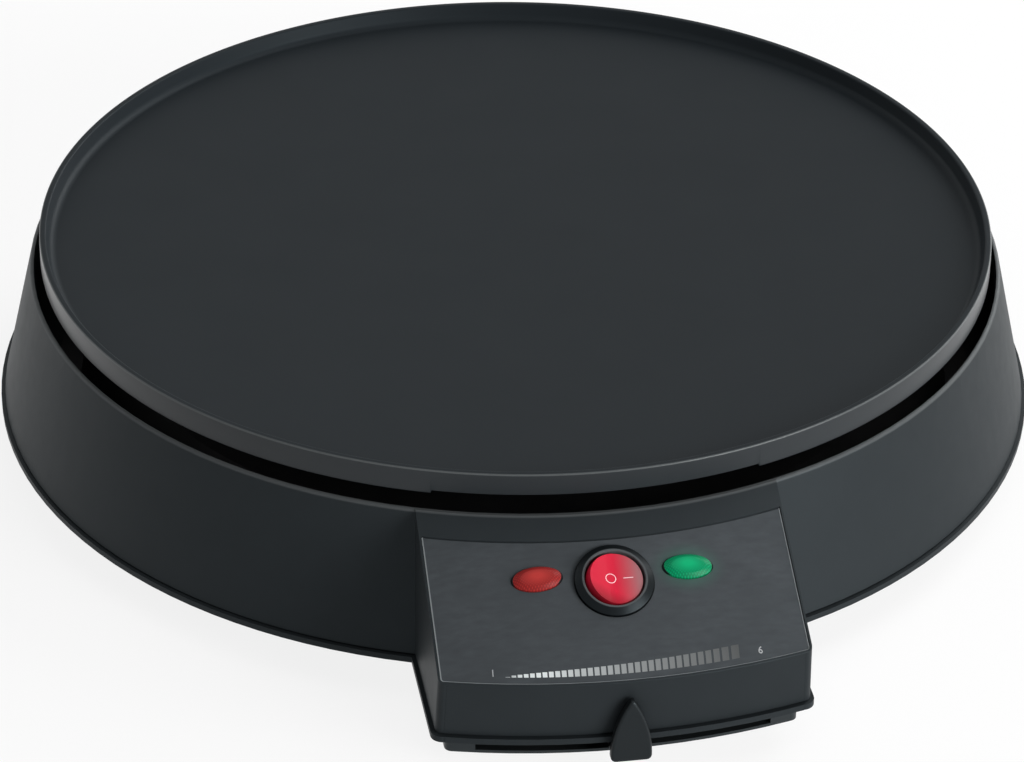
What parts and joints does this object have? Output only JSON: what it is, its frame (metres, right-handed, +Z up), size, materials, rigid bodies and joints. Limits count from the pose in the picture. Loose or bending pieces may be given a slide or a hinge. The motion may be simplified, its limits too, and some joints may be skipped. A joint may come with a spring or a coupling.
{
  "type": "electric crepe maker",
  "caption": "Round flat electric baking plate with a low rim on a conical housing, with a sloping control box, rocker switch, lamps and a temperature lever at the front.",
  "frame": {"origin": "middle of the machine's footprint, on the surface that its feet stand on", "axes": "+Z up; -Y towards the control box at the front; +X to the right of someone who faces the controls"},
  "size_m": [0.329, 0.3696, 0.07],
  "materials": {
    "plate_coating": "fine grained dark grey non-stick coating, satin",
    "housing_plastic": "black moulded plastic, fine texture, slight sheen",
    "label_film": "dark grey printed film, matte",
    "switch_plastic": "black moulded plastic, semi-gloss",
    "rocker_red": "translucent red, lit from inside",
    "lens_red": "clear red plastic with a faceted back",
    "lens_green": "clear green plastic, lit from inside",
    "bulb_glass": "clear glass",
    "lever_plastic": "black moulded plastic, satin",
    "lever_steel": "zinc-plated steel strip",
    "cover_paint": "black paint on sheet steel, satin",
    "foot_rubber": "black rubber, matte",
    "screw_steel": "zinc-plated steel",
    "tube_steel": "heat-darkened stainless steel tube",
    "sheet_steel": "aluminised sheet steel",
    "ceramic": "unglazed ceramic",
    "brass": "plain brass",
    "bimetal": "rolled bimetal strip",
    "spring_copper": "rolled copper alloy strip",
    "sleeve_fibre": "woven glass-fibre sleeve",
    "lead_brown": "silicone-insulated lead",
    "lead_cream": "silicone-insulated lead",
    "lead_green": "silicone-insulated lead",
    "gland_plastic": "black nylon"
  },
  "bodies": {
    "base": {"baking_plate": "plate_coating", "heating_element": "tube_steel", "element_pins": "screw_steel", "element_insulators": "ceramic", "element_clamps": "sheet_steel", "clamp_screws": "screw_steel", "heat_shield": "sheet_steel", "shield_screws": "screw_steel", "plate_spacers": "screw_steel", "plate_screws": "screw_steel", "base_housing": "housing_plastic", "control_label": "label_film", "switch_body": "switch_plastic", "switch_neon": "bulb_glass", "switch_terminals": "brass", "red_lens": "lens_red", "green_lens": "lens_green", "red_neon": "bulb_glass", "green_neon": "bulb_glass", "thermostat_frame": "sheet_steel", "thermostat_screws": "screw_steel", "thermostat_bimetal": "bimetal", "thermostat_insulators": "ceramic", "thermostat_contacts": "spring_copper", "thermostat_rivet": "screw_steel", "thermal_fuse": "screw_steel", "fuse_sleeve": "sleeve_fibre", "fuse_clip": "sheet_steel", "earth_tab": "brass", "terminal_block": "ceramic", "terminal_screws": "brass", "block_screws": "screw_steel", "cord_gland": "gland_plastic", "gland_nut": "gland_plastic", "bottom_cover": "cover_paint", "cover_screws": "screw_steel", "foot_1": "foot_rubber", "foot_2": "foot_rubber", "foot_3": "foot_rubber", "foot_4": "foot_rubber", "mains_leads": "lead_brown", "heater_leads": "lead_cream", "earth_lead": "lead_green"},
    "lever": {"thermostat_shaft": "screw_steel", "lever_arm": "lever_steel", "lever_grip": "lever_plastic", "lever_nut": "screw_steel"},
    "rocker": {"switch_rocker": "rocker_red"}
  },
  "joints": [
    {"name": "temperature_lever", "type": "hinge", "parent": "base", "child": "lever", "pos_m": [0, 0.02032, 0.015], "axis": [0, 0, 1], "range_deg": [-11, 11]},
    {"name": "switch_tip", "type": "hinge", "parent": "base", "child": "rocker", "pos_m": [0, -0.15221, 0.04675], "axis": [0, -0.8846, -0.4664], "range_deg": [0, 16]}
  ]
}
